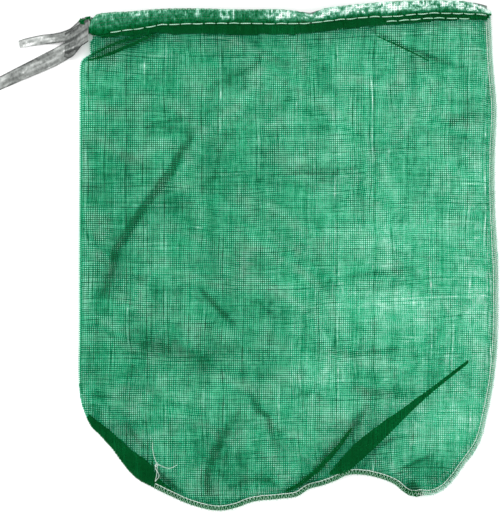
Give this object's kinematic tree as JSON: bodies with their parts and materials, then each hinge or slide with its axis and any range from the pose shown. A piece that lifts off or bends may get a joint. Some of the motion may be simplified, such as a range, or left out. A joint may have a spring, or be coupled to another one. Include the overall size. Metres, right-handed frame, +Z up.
{
  "type": "mesh produce bag",
  "caption": "Flat mesh produce bag with a folded hem around its mouth, a flat tape drawstring, a sewn side seam and an overlocked bottom seam.",
  "frame": {"origin": "on the surface the bag lies on, under the middle of the bag without its free tape ends", "axes": "+Y from the bottom seam to the mouth, +Z up out of the front panel, +X towards the side seam"},
  "size_m": [0.3894, 0.3708, 0.0114],
  "materials": {
    "leno_mesh": "woven green polyethylene mesh, slightly glossy",
    "folded_mesh": "folded layers of the same mesh, darker",
    "sewing_thread": "pale spun sewing thread",
    "film_tape": "crinkled clear plastic film tape"
  },
  "bodies": {
    "bag": {"back_panel": "leno_mesh", "front_panel": "leno_mesh", "left_fold": "leno_mesh", "folded_corner": "folded_mesh", "side_seam_allowance": "leno_mesh", "side_seam_corner": "leno_mesh", "bottom_seam_allowance": "folded_mesh", "front_casing": "folded_mesh", "back_casing": "folded_mesh", "front_hem_thread": "sewing_thread", "back_hem_thread": "sewing_thread", "hem_thread_overrun": "sewing_thread", "side_seam_thread": "sewing_thread", "bottom_seam_thread": "sewing_thread", "bottom_overlock_thread": "sewing_thread", "loose_thread_tails": "sewing_thread", "casing_end_tuck": "folded_mesh", "front_pleat": "folded_mesh"},
    "drawstring": {"drawstring_front_run": "film_tape", "drawstring_back_run": "film_tape", "drawstring_return": "film_tape", "drawstring_knot": "film_tape", "upper_tail": "film_tape", "lower_tail": "film_tape"}
  },
  "joints": [
    {"name": "drawstring_pull", "type": "slide", "parent": "bag", "child": "drawstring", "axis": [-0.9993, -0.0384, 0], "range_m": [0, 0.17], "deforming": ["front_casing", "back_casing", "front_hem_thread", "back_hem_thread"]}
  ]
}
